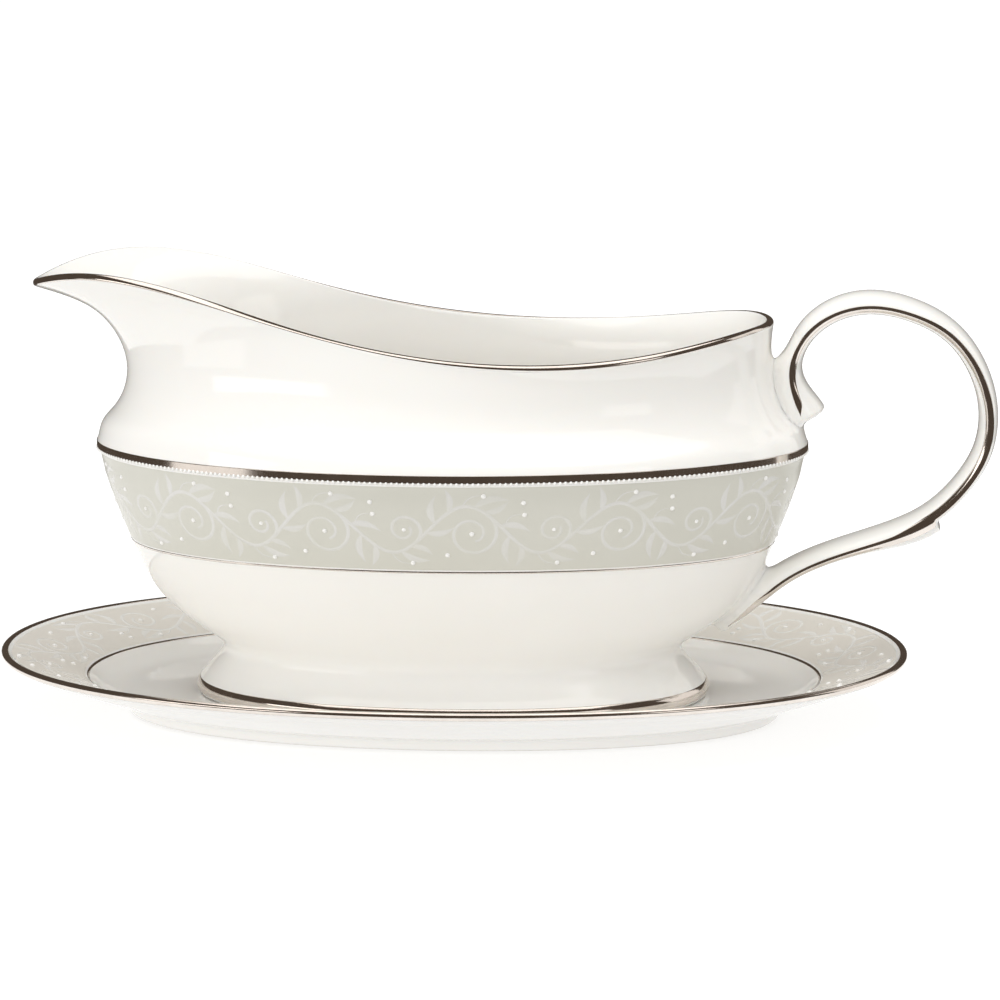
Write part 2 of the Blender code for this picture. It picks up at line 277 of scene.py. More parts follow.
# ---------------------------------------------------------------- curves
def spline(knots, values, at):
    """Natural cubic spline through the values."""
    knots = np.asarray(knots, float)
    values = np.asarray(values, float)
    at = np.asarray(at, float)
    count = len(knots)
    gap = np.diff(knots)
    matrix = np.eye(count)
    right = np.zeros_like(values)
    for i in range(1, count - 1):
        matrix[i, i - 1:i + 2] = (gap[i - 1], 2 * (gap[i - 1] + gap[i]), gap[i])
        slope_before = (values[i] - values[i - 1]) / gap[i - 1]
        slope_after = (values[i + 1] - values[i]) / gap[i]
        right[i] = 6 * (slope_after - slope_before)
    flat = right.reshape(count, -1)
    bend = np.linalg.solve(matrix, flat).reshape(values.shape)
    k = np.clip(np.searchsorted(knots, at) - 1, 0, count - 2)
    u = (at - knots[k]) / gap[k]
    h2 = gap[k] ** 2 / 6
    shape = u.shape + (1,) * (values.ndim - 1)
    u = u.reshape(shape)
    h2 = h2.reshape(shape)
    start = (1 - u) * values[k] + h2 * ((1 - u) ** 3 - (1 - u)) * bend[k]
    return start + u * values[k + 1] + h2 * (u ** 3 - u) * bend[k + 1]


def round_series(values, angle):
    """Even smooth curve through values at evenly spaced angles, 0 to 180 degrees."""
    values = np.asarray(values, float)
    waves = np.arange(len(values))
    marks = np.pi * waves / (len(values) - 1)
    share = np.linalg.solve(np.cos(np.outer(marks, waves)), values)
    return np.cos(np.outer(angle, waves)) @ share


def unit(vectors):
    return vectors / np.maximum(np.linalg.norm(vectors, axis=-1, keepdims=True), 1e-9)


def smooth_step(x):
    x = np.clip(x, 0, 1)
    return x * x * (3 - 2 * x)


def oval(long, wide, square, height, angle):
    reach = 1 + square * np.sin(2 * angle) ** 2
    flat = np.full_like(angle, height)
    return np.stack([long * reach * np.cos(angle), wide * reach * np.sin(angle), flat], 1)


def rim_curve(angle):
    middle = (RIM_BACK + RIM_TIP) / 2
    lean = (RIM_TIP - RIM_BACK) / 2
    x = middle * np.cos(angle) - lean * np.cos(angle) ** 2
    y = np.sin(angle) * round_series(RIM_BREADTH, angle)
    return np.stack([x, y, round_series(RIM_HEIGHT, angle)], 1)


def belly_ring(height, angle):
    rows = np.array(BELLY)
    long, wide, square = spline(rows[:, 0], rows[:, 1:], np.array([height]))[0]
    return oval(long, wide, square, height, angle)


def neck_ring(step, angle):
    rows = np.array(NECK)
    rise, long, wide, share = spline(rows[:, 0], rows[:, 1:], np.array([step]))[0]
    share = max(share, 0.0)
    rim = rim_curve(angle)
    ring = oval(long, wide, BELLY[-1][3] * (1 - step), 0.0, angle)
    ring = (1 - share) * ring + share * rim
    ring[:, 2] = SHOULDER_Z + (rim[:, 2] - SHOULDER_Z) * rise
    return ring


def grid_normals(grid):
    """Outward directions of a grid whose rows close round."""
    around = np.roll(grid, -1, 1) - np.roll(grid, 1, 1)
    along = np.gradient(grid, axis=0)
    return unit(np.cross(around, along))


def loft(rings, rows):
    """Dense rows through the control rings, evenly spaced along their length."""
    rings = np.array(rings)
    step = np.linalg.norm(np.diff(rings, axis=0), axis=2).mean(1)
    knots = np.concatenate([[0], np.cumsum(step)])
    return spline(knots, rings, np.linspace(0, knots[-1], rows))


# ---------------------------------------------------------------- meshes
def add_mesh(name, points, faces, materials, slots=None):
    points = np.asarray(points, float).reshape(-1, 3) * UNIT + np.array(CENTRE)
    mesh = bpy.data.meshes.new(name)
    mesh.from_pydata(points.tolist(), [], faces)
    for material in materials:
        mesh.materials.append(material)
    mesh.polygons.foreach_set("use_smooth", [True] * len(mesh.polygons))
    if slots is not None:
        mesh.polygons.foreach_set("material_index", slots)
    obj = bpy.data.objects.new(name, mesh)
    bpy.context.scene.collection.objects.link(obj)
    return obj


def grid_faces(rows, columns, wrap_rows=False, wrap_columns=True, start=0):
    r = np.arange(rows if wrap_rows else rows - 1)[:, None]
    c = np.arange(columns if wrap_columns else columns - 1)[None, :]
    r2 = (r + 1) % rows
    c2 = (c + 1) % columns
    quads = np.stack([r * columns + c, r * columns + c2, r2 * columns + c2, r2 * columns + c], -1)
    return (quads.reshape(-1, 4) + start).tolist()


def capped_grid(name, grid, materials, slots=None):
    """Rows that close round, with both ends drawn together in a point."""
    rows, columns = grid.shape[:2]
    first = grid[0].mean(0)
    last = grid[-1].mean(0)
    points = np.concatenate([grid.reshape(-1, 3), [first, last]])
    faces = grid_faces(rows, columns)
    a = rows * columns
    base = (rows - 1) * columns
    for j in range(columns):
        k = (j + 1) % columns
        faces.append((a, k, j))
        faces.append((a + 1, base + j, base + k))
    if slots is not None:
        slots = slots + [slots[0], slots[-1]] * columns
    return add_mesh(name, points, faces, materials, slots)


def layer(name, grid, normals, material, lift=LAYER, wrap=True):
    """A thin closed skin with soft edges over a patch of a surface."""
    rows = len(grid)
    edge = np.ones(rows)
    edge[0] = edge[-1] = 0.0
    edge[1] = edge[-2] = 0.8     # soft shoulder one row in from each edge
    stand_off = lift * edge - LAYER_TUCK * (1 - edge)
    over = grid + normals * stand_off[:, None, None]
    under = (grid - normals * LAYER_DEPTH)[::-1]
    points = np.concatenate([over, under])
    columns = grid.shape[1]
    if wrap:
        return add_mesh(name, points, grid_faces(2 * rows, columns, wrap_rows=True), [material])
    faces = grid_faces(2 * rows, columns, wrap_rows=True, wrap_columns=False)
    for c in (0, columns - 1):
        for r in range(rows - 1):
            a, b = r * columns + c, (r + 1) * columns + c
            d, e = (2 * rows - 1 - r) * columns + c, (2 * rows - 2 - r) * columns + c
            faces.append((a, b, e, d) if c == 0 else (a, d, e, b))
    return add_mesh(name, points, faces, [material])


# ---------------------------------------------------------------- materials
CHINA_LOW = (0.900, 0.886, 0.850)
CHINA_HIGH = (0.916, 0.904, 0.872)
BISQUE_LOW = (0.70, 0.68, 0.63)
BISQUE_HIGH = (0.80, 0.78, 0.74)
PLATINUM_LOW = (0.70, 0.645, 0.595)
PLATINUM_HIGH = (0.79, 0.735, 0.685)
DOT_LOW = (0.90, 0.89, 0.86)
DOT_HIGH = (0.94, 0.935, 0.915)
# The same ivory ground enamel is set darker on the boat than on the stand: painted shade on the boat's copy
# and painted light on the stand's, standing in for how each border is lit.
GROUND_PAINTED_SHADE_LOW = (0.632, 0.622, 0.553)
GROUND_PAINTED_SHADE_HIGH = (0.652, 0.643, 0.578)
STAND_GROUND_PAINTED_LIGHT_LOW = (0.770, 0.736, 0.668)
STAND_GROUND_PAINTED_LIGHT_HIGH = (0.792, 0.758, 0.694)
# The same white scroll enamel is set darker on the boat and lighter on the stand: painted shade and painted
# light standing in for how each border is lit.
VINE_PAINTED_SHADE_LOW = (0.680, 0.672, 0.622)
VINE_PAINTED_SHADE_HIGH = (0.704, 0.694, 0.668)
STAND_VINE_PAINTED_LIGHT_LOW = (0.820, 0.806, 0.760)
STAND_VINE_PAINTED_LIGHT_HIGH = (0.846, 0.832, 0.800)


def new_material(name):
    material = bpy.data.materials.new(name)
    material.use_nodes = True
    nodes = material.node_tree.nodes
    return material, nodes, material.node_tree.links, nodes["Principled BSDF"]


def noise(nodes, links, scale, detail=2.0, roughness=0.5):
    place = nodes.new("ShaderNodeTexCoord")
    texture = nodes.new("ShaderNodeTexNoise")
    texture.inputs["Scale"].default_value = scale
    texture.inputs["Detail"].default_value = detail
    texture.inputs["Roughness"].default_value = roughness
    links.new(place.outputs["Object"], texture.inputs["Vector"])
    return texture.outputs["Fac"]


def ramp(nodes, links, factor, low, high, start=0.35, end=0.65):
    spread = nodes.new("ShaderNodeValToRGB")
    spread.color_ramp.elements[0].position = start
    spread.color_ramp.elements[0].color = (*low, 1)
    spread.color_ramp.elements[1].position = end
    spread.color_ramp.elements[1].color = (*high, 1)
    links.new(factor, spread.inputs["Fac"])
    return spread.outputs["Color"]


def reach(nodes, links, factor, low, high):
    """Factor 0..1 turned into a number between low and high."""
    change = nodes.new("ShaderNodeMapRange")
    change.inputs["To Min"].default_value = low
    change.inputs["To Max"].default_value = high
    links.new(factor, change.inputs["Value"])
    return change.outputs["Result"]


def bump(nodes, links, factor, strength, distance):
    lift = nodes.new("ShaderNodeBump")
    lift.inputs["Strength"].default_value = strength
    lift.inputs["Distance"].default_value = distance
    links.new(factor, lift.inputs["Height"])
    return lift.outputs["Normal"]


def base_colour(nodes, links, shader, factor, low, high):
    links.new(ramp(nodes, links, factor, low, high), shader.inputs["Base Color"])


def china_material():
    material, nodes, links, shader = new_material("china_glaze")
    tone = noise(nodes, links, 18.0, 3.0)
    base_colour(nodes, links, shader, tone, CHINA_LOW, CHINA_HIGH)
    polish = noise(nodes, links, 60.0, 3.0)
    links.new(reach(nodes, links, polish, 0.045, 0.085), shader.inputs["Roughness"])
    ripple = noise(nodes, links, 45.0, 1.0)
    links.new(bump(nodes, links, ripple, 0.05, 0.0006), shader.inputs["Normal"])
    shader.inputs["IOR"].default_value = 1.52
    shader.inputs["Subsurface Weight"].default_value = 0.12
    shader.inputs["Subsurface Radius"].default_value = (1.0, 0.8, 0.6)
    shader.inputs["Subsurface Scale"].default_value = 0.002
    return material


def bisque_material():
    material, nodes, links, shader = new_material("unglazed_foot")
    grain = noise(nodes, links, 900.0, 4.0, 0.7)
    base_colour(nodes, links, shader, grain, BISQUE_LOW, BISQUE_HIGH)
    links.new(reach(nodes, links, grain, 0.55, 0.75), shader.inputs["Roughness"])
    links.new(bump(nodes, links, grain, 0.3, 0.0001), shader.inputs["Normal"])
    return material


def platinum_material():
    material, nodes, links, shader = new_material("platinum_burnished")
    haze = noise(nodes, links, 140.0, 4.0, 0.6)
    base_colour(nodes, links, shader, haze, PLATINUM_LOW, PLATINUM_HIGH)
    links.new(reach(nodes, links, haze, 0.07, 0.17), shader.inputs["Roughness"])
    marks = noise(nodes, links, 1800.0, 2.0)
    links.new(bump(nodes, links, marks, 0.08, 0.00004), shader.inputs["Normal"])
    shader.inputs["Metallic"].default_value = 1.0
    return material


def ground_material(name, low, high):
    material, nodes, links, shader = new_material(name)
    cloud = noise(nodes, links, 22.0, 2.0, 0.5)
    base_colour(nodes, links, shader, cloud, low, high)
    satin = noise(nodes, links, 60.0, 2.0)
    links.new(reach(nodes, links, satin, 0.27, 0.31), shader.inputs["Roughness"])
    grain = noise(nodes, links, 1500.0, 2.0)
    links.new(bump(nodes, links, grain, 0.10, 0.00003), shader.inputs["Normal"])
    return material


def vine_material(name, low, high):
    material, nodes, links, shader = new_material(name)
    cloud = noise(nodes, links, 120.0, 3.0)
    base_colour(nodes, links, shader, cloud, low, high)
    links.new(reach(nodes, links, cloud, 0.16, 0.28), shader.inputs["Roughness"])
    return material


def dot_material():
    material, nodes, links, shader = new_material("white_bead_enamel")
    cloud = noise(nodes, links, 250.0, 2.0)
    base_colour(nodes, links, shader, cloud, DOT_LOW, DOT_HIGH)
    links.new(reach(nodes, links, cloud, 0.06, 0.14), shader.inputs["Roughness"])
    return material


china = china_material()
bisque = bisque_material()
platinum = platinum_material()
# The boat's and the stand's copies of the ground and scroll enamels differ only by painted shade and painted
# light.
ground = ground_material("ivory_ground_painted_shade", GROUND_PAINTED_SHADE_LOW, GROUND_PAINTED_SHADE_HIGH)
stand_ground = ground_material("ivory_ground_stand_painted_light", STAND_GROUND_PAINTED_LIGHT_LOW, STAND_GROUND_PAINTED_LIGHT_HIGH)
vine = vine_material("white_scroll_enamel_painted_shade", VINE_PAINTED_SHADE_LOW, VINE_PAINTED_SHADE_HIGH)
stand_vine = vine_material("white_scroll_enamel_stand_painted_light", STAND_VINE_PAINTED_LIGHT_LOW, STAND_VINE_PAINTED_LIGHT_HIGH)
bead = dot_material()


def piece(obj, body, slot, *nodes):
    """Rides on a body, and stands for the CAD nodes named; the slot is not used."""
    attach(obj, body)
    if nodes:
        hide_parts(*nodes)
    return obj


# ---------------------------------------------------------------- boat surface
angle = np.linspace(0, 2 * np.pi, AROUND, endpoint=False)
control = [oval(a, b, FOOT_SQUARE, z, angle) for z, a, b in FOOT]
control += [belly_ring(z, angle) for z in BELLY_LEVELS]
control += [oval(a, b, BELLY[-1][3], z, angle) for z, a, b in SHOULDER]
control += [neck_ring(t, angle) for t in (0.12, 0.25, 0.42, 0.58, 0.76, 0.89, 1.0)]
outside = loft(control, ROWS)
rise = unit(outside[-1] - outside[-2])
outside_normals = grid_normals(outside)


def rows_between(grid, low, high, count):
    """Evenly spaced rows of a surface between two heights."""
    place = np.interp(np.linspace(low, high, count), grid[:, 0, 2], np.arange(len(grid)))
    return rows_at(grid, place)


def rows_at(grid, place):
    k = np.clip(place.astype(int), 0, len(grid) - 2)
    share = (place - k)[:, None, None]
    return grid[k] * (1 - share) + grid[k + 1] * share


def lip_rows(rim, up, thick, turns):
    """Half round edge from the outer wall over to the inner wall."""
    along = unit(np.roll(rim, -1, 0) - np.roll(rim, 1, 0))
    into = unit(np.cross(up, along))
    into *= np.sign((into[:, :2] * -rim[:, :2]).sum(1))[:, None]
    half = thick / 2
    rows = []
    for turn in turns:
        rows.append(rim + into * half * (1 - np.cos(turn)) + up * half * (np.sin(turn) - 1))
    return np.array(rows)


lip = lip_rows(outside[-1], rise, LIP, np.linspace(0, np.pi, LIP_ROWS))
top_share = np.linspace(0, 1, ROWS)
below_lip = top_share < INSIDE_TOP
wall_now = WALL + (LIP - WALL) * smooth_step((top_share - WALL_THINS) / (1 - WALL_THINS))
inside_rows = outside - outside_normals * wall_now[:, None, None]
keep = (outside[:, 0, 2] > FLOOR_FROM_Z) & below_lip
inside = inside_rows[keep][::-1]
floor_rings = [inside[-1 - FLOOR_OVERLAP], inside[-1]]
floor_rings += [oval(a, b, FLOOR_SQUARE, z, angle) for z, a, b in INNER_FLOOR]
floor = loft(floor_rings, FLOOR_ROWS)
under = loft([oval(a, b, FOOT_SQUARE, z, angle) for z, a, b in FOOT_UNDER], UNDER_ROWS)
outer_wall = outside[:-1][below_lip[:-1]]
body_grid = np.concatenate([under, outer_wall, lip, inside, floor[FLOOR_SKIP:]])


# ---------------------------------------------------------------- handle
def handle_grid():
    """The handle's surface and its line, and how far the platinum turns round the edges."""
    line = np.array(HANDLE_LINE)
    run = np.concatenate([[0], np.cumsum(np.linalg.norm(np.diff(line, axis=0), axis=1))])
    at = np.linspace(0, run[-1], HANDLE_ROWS)
    path = spline(run, line, at)
    ahead = unit(spline(run, line, at + 0.05) - spline(run, line, at - 0.05))
    out = np.stack([-ahead[:, 1], ahead[:, 0]], 1)
    spur_at = at[np.argmin(np.hypot(path[:, 0] - SPUR_X, path[:, 1] - SPUR_Z))]
    turn = 2 * np.pi * np.arange(SECTION) / SECTION
    soft = np.where(np.sin(turn) >= 0, 2 / OUTER_ROUND, 2 / INNER_ROUND)
    across = np.sign(np.cos(turn)) * np.abs(np.cos(turn)) ** soft
    deep = np.sign(np.sin(turn)) * np.abs(np.sin(turn)) ** soft
    left = run[-1] - at
    full = np.sin(0.5 * np.pi * np.clip(left / ROOT_TAPER, 0, 1))
    width = HANDLE_HALF_WIDTH * (ROOT_WIDTH + (1 - ROOT_WIDTH) * full)
    past_spur = at - spur_at
    sharp = smooth_step(past_spur / SPUR_FACE + 1)
    step = SPUR * np.exp(-(past_spur / SPUR_RUN) ** 2) * sharp
    toe = TOE * np.exp(-(at / TOE_RUN) ** 2)
    ends = np.minimum(at / UPPER_END, left / LOWER_END)
    closing = np.sqrt(1 - (1 - np.clip(ends, 0.02, 1)) ** 2)
    depth_rows = np.array(HANDLE_DEPTH)
    crowns = spline(depth_rows[:, 0], depth_rows[:, 1:], at / run[-1])
    outer = (crowns[:, 0] + step) * closing
    inner = (crowns[:, 1] + toe) * closing
    rows = []
    for i in range(HANDLE_ROWS):
        depth = np.where(deep > 0, outer[i], inner[i]) * deep
        rows.append(np.stack([
            path[i, 0] + depth * out[i, 0],
            width[i] * closing[i] * across,
            path[i, 1] + depth * out[i, 1]], 1))
    wedge = EDGE_WEDGE * np.exp(-(past_spur / EDGE_WEDGE_RUN) ** 2) * sharp
    strap = smooth_step(past_spur / STRAP_RUN)
    wide_out = EDGE_OUT + (STRAP_OUT - EDGE_OUT) * strap + wedge
    wide_in = EDGE_IN + (STRAP_IN - EDGE_IN) * strap
    turns_out = np.arcsin(np.clip(wide_out / outer, 0, 0.9))
    turns_in = np.arcsin(np.clip(wide_in / inner, 0, 0.9))
    return np.array(rows), path, turns_out, turns_in


handle, handle_path, edge_out, edge_in = handle_grid()


def tree_of(grid):
    points = [Vector(p) for p in grid.reshape(-1, 3)]
    return BVHTree.FromPolygons(points, grid_faces(*grid.shape[:2]))


def distance_to(tree, p):
    place, normal, _, _ = tree.find_nearest(p)
    away = p - place
    sign = 1.0 if away.dot(normal) >= 0 else -1.0
    gap = away.length
    if gap < 1e-5:
        return 0.0, normal
    return sign * gap, away * (sign / gap)


def melt(grid, own, other, near):
    """Moves the points of a surface onto its smooth union with another."""
    flat = grid.reshape(-1, 3)
    for i in np.nonzero(near.reshape(-1))[0]:
        p = Vector(flat[i])
        reach_mm = FILLET if p.z > UPPER_ROOT_Z else LOW_FILLET
        there, _ = distance_to(other, p)
        if there > reach_mm or there < -0.5 * reach_mm:
            continue
        sink = SINK * smooth_step(-there / (0.5 * reach_mm))
        for _ in range(MELT_STEPS):
            da, na = distance_to(own, p)
            db, nb = distance_to(other, p)
            mix = max(reach_mm - abs(da - db), 0.0) / reach_mm
            field = min(da, db) - mix * mix * reach_mm / 4
            share = 0.5 * mix
            slope = na * (1 - share) + nb * share if da < db else nb * (1 - share) + na * share
            size = max(slope.length_squared, 0.15)
            move = slope * ((field + sink) / size)
            if move.length > MELT_MOVE:
                move.length = MELT_MOVE
            p -= move
        flat[i] = p
    return flat.reshape(grid.shape)


outside_tree = tree_of(outside)
handle_tree = tree_of(handle)
near_bowl = np.broadcast_to((handle_path[:, 0] < ROOTS_X)[:, None], handle.shape[:2])
handle = melt(handle.copy(), handle_tree, outside_tree, near_bowl)
start = len(under)
stop = start + len(outer_wall)
reachable = (outer_wall[..., 0] > ROOT_WALL_X) & (np.abs(outer_wall[..., 1]) < ROOT_WALL_Y)
body_grid[start:stop] = melt(outer_wall.copy(), outside_tree, handle_tree, reachable)

foot_slots = (body_grid[:-1, 0, 2] < BARE_FOOT_Z).astype(int)
foot_slots = np.repeat(foot_slots, AROUND).tolist()
boat_body = capped_grid("boat_china_body", body_grid, [china, bisque], foot_slots)
piece(boat_body, "boat", "glazed_china", "boat_bowl", "boat_foot")
handle_china = capped_grid("boat_handle_china", handle, [china])
piece(handle_china, "boat", "glazed_china", "boat_handle")

# ---------------------------------------------------------------- bands on the boat
band = rows_between(outside, *LINE_Z, 7)
band[..., :2] += LINE_UPRIGHT * (band[-1, :, :2] - band[..., :2])
piece(layer("boat_border_line_platinum", band, grid_normals(band), platinum),
      "boat", "platinum", "boat_border_line")
border = rows_between(outside, *BORDER_Z, 60)
border_normals = grid_normals(border)
piece(layer("boat_border_ground", border, border_normals, ground, lift=GROUND_LAYER),
      "boat", "ivory_enamel", "boat_border_band")
band = rows_between(outside, *SHOULDER_BAND_Z, 30)
band[..., :2] = band[np.argmax(band[:, 0, 0]), :, :2]
piece(layer("boat_shoulder_platinum", band, grid_normals(band), platinum),
      "boat", "platinum", "boat_shoulder_band")
band = rows_between(outside, *FOOT_BAND_Z, 16)
piece(layer("boat_foot_platinum", band, grid_normals(band), platinum),
      "boat", "platinum", "boat_foot_band")
rim_rows = lip_rows(outside[-1], rise, LIP, np.linspace(*RIM_BAND, 17))
piece(layer("boat_rim_platinum", rim_rows, grid_normals(rim_rows), platinum),
      "boat", "platinum", "boat_rim_band")


def handle_edge(name, toward, node):
    """Platinum over one edge of the handle, from its outer side round to its inner side."""
    normals = grid_normals(handle)
    first = EDGE_ENDS[0]
    last = HANDLE_ROWS - EDGE_ENDS[1]
    share = np.linspace(0, 1, 17)[None, :]
    along = np.arange(last - first)
    narrow = smooth_step(along / 9) * (0.75 + 0.25 * smooth_step((along - 18) / 30))
    narrow *= 0.1 + 0.9 * smooth_step(along[::-1] / 24)
    turns = narrow[:, None] * (edge_out[first:last, None] * (1 - share) - edge_in[first:last, None] * share)
    centre = 0.0 if toward > 0 else SECTION / 2
    places = centre + toward * turns / (2 * np.pi) * SECTION
    low = np.floor(places).astype(int)
    part = (places - low)[..., None]
    row = np.arange(first, last)[:, None]

    def between(grid):
        return grid[row, low % SECTION] * (1 - part) + grid[row, (low + 1) % SECTION] * part

    patch = np.swapaxes(between(handle), 0, 1)
    out = unit(np.swapaxes(between(normals), 0, 1))
    if toward > 0:
        patch = patch[::-1]
        out = out[::-1]
    patch = patch[:, ::-1]
    out = out[:, ::-1]
    piece(layer(name, patch, out, platinum, wrap=False), "boat", "platinum", node)


handle_edge("handle_edge_left", 1, "handle_stripe_left")
handle_edge("handle_edge_right", -1, "handle_stripe_right")

# ---------------------------------------------------------------- stand
stand_angle = np.linspace(0, 2 * np.pi, AROUND_STAND, endpoint=False)
stand_rings = [oval(a, b, STAND_SQUARE, z, stand_angle) for z, a, b in STAND_TOP + STAND_UNDER]
stand_rings = stand_rings[::-1]
plate = loft(stand_rings, ROWS_STAND)
unglazed = (plate[:-1, 0, 2] < BARE_STAND_Z) & (plate[:-1, 0, 0] > BARE_STAND_A)
plate_slots = np.repeat(unglazed.astype(int), AROUND_STAND).tolist()
stand_body = capped_grid("stand_china", plate, [china, bisque], plate_slots)
piece(stand_body, "stand", "glazed_china", "stand_plate")
edge_row = int(np.argmax(plate[:, 0, 0]))
plate_top = plate[edge_row:]
lengths = plate_top[:, 0, 0]


def top_rows(low, high, count):
    """Rows of the stand's top between two half lengths, from the edge inward."""
    place = np.interp(np.linspace(-high, -low, count), -lengths, np.arange(len(plate_top)))
    return rows_at(plate_top, place)


band = top_rows(*STAND_LINE_A, 5)
piece(layer("stand_line_platinum", band, grid_normals(band), platinum),
      "stand", "platinum", "stand_well_line")
flange = top_rows(*STAND_BORDER_A, 50)
flange_normals = grid_normals(flange)
piece(layer("stand_border_ground", flange, flange_normals, stand_ground, lift=GROUND_LAYER),
      "stand", "ivory_enamel", "stand_border_band")
first = int(np.nonzero(plate[:edge_row, 0, 2] > STAND_BAND_Z)[0][0])
last = edge_row + int(np.nonzero(lengths < STAND_BAND_A)[0][0])
band = plate[first:last]
piece(layer("stand_rim_platinum", band, grid_normals(band), platinum),
      "stand", "platinum", "stand_rim_band")


# ---------------------------------------------------------------- border relief
class Border:
    """A strip of surface addressed by mm along it and mm across it."""

    def __init__(self, grid, normals):
        middle = grid[len(grid) // 2]
        steps = np.linalg.norm(np.roll(middle, -1, 0) - middle, axis=1)
        self.along = np.concatenate([[0], np.cumsum(steps)])
        self.length = self.along[-1]
        rise_steps = np.linalg.norm(np.diff(grid, axis=0), axis=2).mean(1)
        self.across = np.concatenate([[0], np.cumsum(rise_steps)])
        self.height = self.across[-1]
        self.grid = np.concatenate([grid, grid[:, :1]], 1)
        self.normals = np.concatenate([normals, normals[:, :1]], 1)

    def place(self, u, v, lift):
        u = np.mod(u, self.length)
        i = np.interp(u, self.along, np.arange(len(self.along)))
        j = np.interp(v, self.across, np.arange(len(self.across)))
        i0 = np.clip(i.astype(int), 0, self.grid.shape[1] - 2)
        j0 = np.clip(j.astype(int), 0, self.grid.shape[0] - 2)
        fi = (i - i0)[..., None]
        fj = (j - j0)[..., None]

        def mixed(g):
            low = g[j0, i0] * (1 - fi) + g[j0, i0 + 1] * fi
            high = g[j0 + 1, i0] * (1 - fi) + g[j0 + 1, i0 + 1] * fi
            return low * (1 - fj) + high * fj

        return mixed(self.grid) + unit(mixed(self.normals)) * np.asarray(lift)[..., None]


def stroke(points, half, height, count=26):
    """A raised line through the points, fine at both ends: places, half widths, heights."""
    points = np.array(points, float)
    run = np.concatenate([[0], np.cumsum(np.linalg.norm(np.diff(points, axis=0), axis=1))])
    at = np.linspace(0, run[-1], count)
    ends = np.sin(np.pi * np.clip(at / run[-1], 0.02, 0.98)) ** 0.4
    return spline(run, points, at), half * ends, height * ends


def leaf(base, heading, length, half, bend):
    """A spindle leaf from its base along its heading, bowed to one side."""
    t = np.linspace(0, 1, 15)
    x = length * t
    y = bend * length * np.sin(np.pi * t) * 0.25
    c, s = math.cos(heading), math.sin(heading)
    line = np.stack([base[0] + c * x - s * y, base[1] + s * x + c * y], 1)
    wide = half * np.sin(np.pi * np.clip(t ** 0.8, 0.02, 0.985)) + 0.05
    return line, wide, LEAF_HEIGHT * np.sin(np.pi * np.clip(t, 0.06, 0.94)) ** 0.5


def curl(base, heading, side, radius, turns, count=56):
    """A stem leaving its base along its heading and winding in to an eye."""
    normal = np.array([-math.sin(heading), math.cos(heading)]) * side
    eye = np.array(base) + normal * radius
    start = math.atan2(-normal[1], -normal[0])
    t = np.linspace(0, 1, count)
    away = radius * (1 - 0.66 * t)
    theta = start + side * 2 * np.pi * turns * t
    line = eye + np.stack([away * np.cos(theta), away * np.sin(theta)], 1)
    return (line, STEM * (1.0 - 0.25 * t), STEM_HEIGHT * (1.0 - 0.2 * t)), tuple(eye)


def motif(pitch, height):
    """One repeat of the scroll border: raised lines, leaves and the places of the dots."""
    mid = height * 0.5
    swing = height * 0.30

    def on_stem(share):
        slope = swing * 2 * np.pi / pitch * math.cos(2 * np.pi * share)
        return (pitch * share, mid + swing * math.sin(2 * np.pi * share)), math.atan(slope)

    t = np.linspace(0, 1, 90)
    wave = np.stack([pitch * t, mid + swing * np.sin(2 * np.pi * t)], 1)
    strokes = [(wave, np.full(90, STEM), np.full(90, STEM_HEIGHT))]
    dots = []
    for share, side, radius, turns in ((0.405, -1, 0.30, 1.32), (0.915, 1, 0.205, 1.22)):
        base, heading = on_stem(share)
        line, eye = curl(base, heading, side, radius * height, turns)
        strokes.append(line)
        dots.append((*eye, DOT if radius > 0.25 else 0.85 * DOT))
    # Share along the stem, side, angle off it, length, half width, bow.
    sprouts = (
        (0.04, 1, 40, 7.6, 0.92, 0.6),
        (0.13, 1, 58, 6.2, 0.84, -0.5),
        (0.30, 1, 32, 8.4, 0.95, 0.6),
        (0.36, 1, 60, 6.4, 0.86, -0.6),
        (0.47, 1, 34, 7.6, 0.90, 0.5),
        (0.54, -1, 42, 7.8, 0.92, -0.6),
        (0.62, -1, 62, 6.0, 0.84, 0.5),
        (0.80, -1, 38, 7.6, 0.92, -0.5),
        (0.87, -1, 60, 5.8, 0.80, 0.5),
        (0.98, -1, 36, 7.0, 0.88, -0.5),
    )
    for share, side, open_angle, length, half, bend in sprouts:
        base, heading = on_stem(share)
        strokes.append(leaf(base, heading + side * math.radians(open_angle), length, half, bend))
    tendrils = ((0.22, 1, 4.6, 0.14), (0.73, -1, 4.8, -0.15), (0.50, 1, 4.2, 0.20))
    for share, side, reach_u, reach_v in tendrils:
        (u, v), heading = on_stem(share)
        tip = (u + reach_u, v + reach_v * height)
        bow = (u + 0.45 * reach_u * math.cos(heading), v + 0.8 * reach_v * height)
        strokes.append(stroke([(u, v), bow, tip], 0.2, STEM_HEIGHT))
        dots.append((tip[0] + 0.5, tip[1] - 0.2 * side, DOT))
    dots.append((0.62 * pitch, mid + 0.34 * height, DOT))
    dots.append((0.12 * pitch, mid - 0.33 * height, DOT))
    return strokes, dots


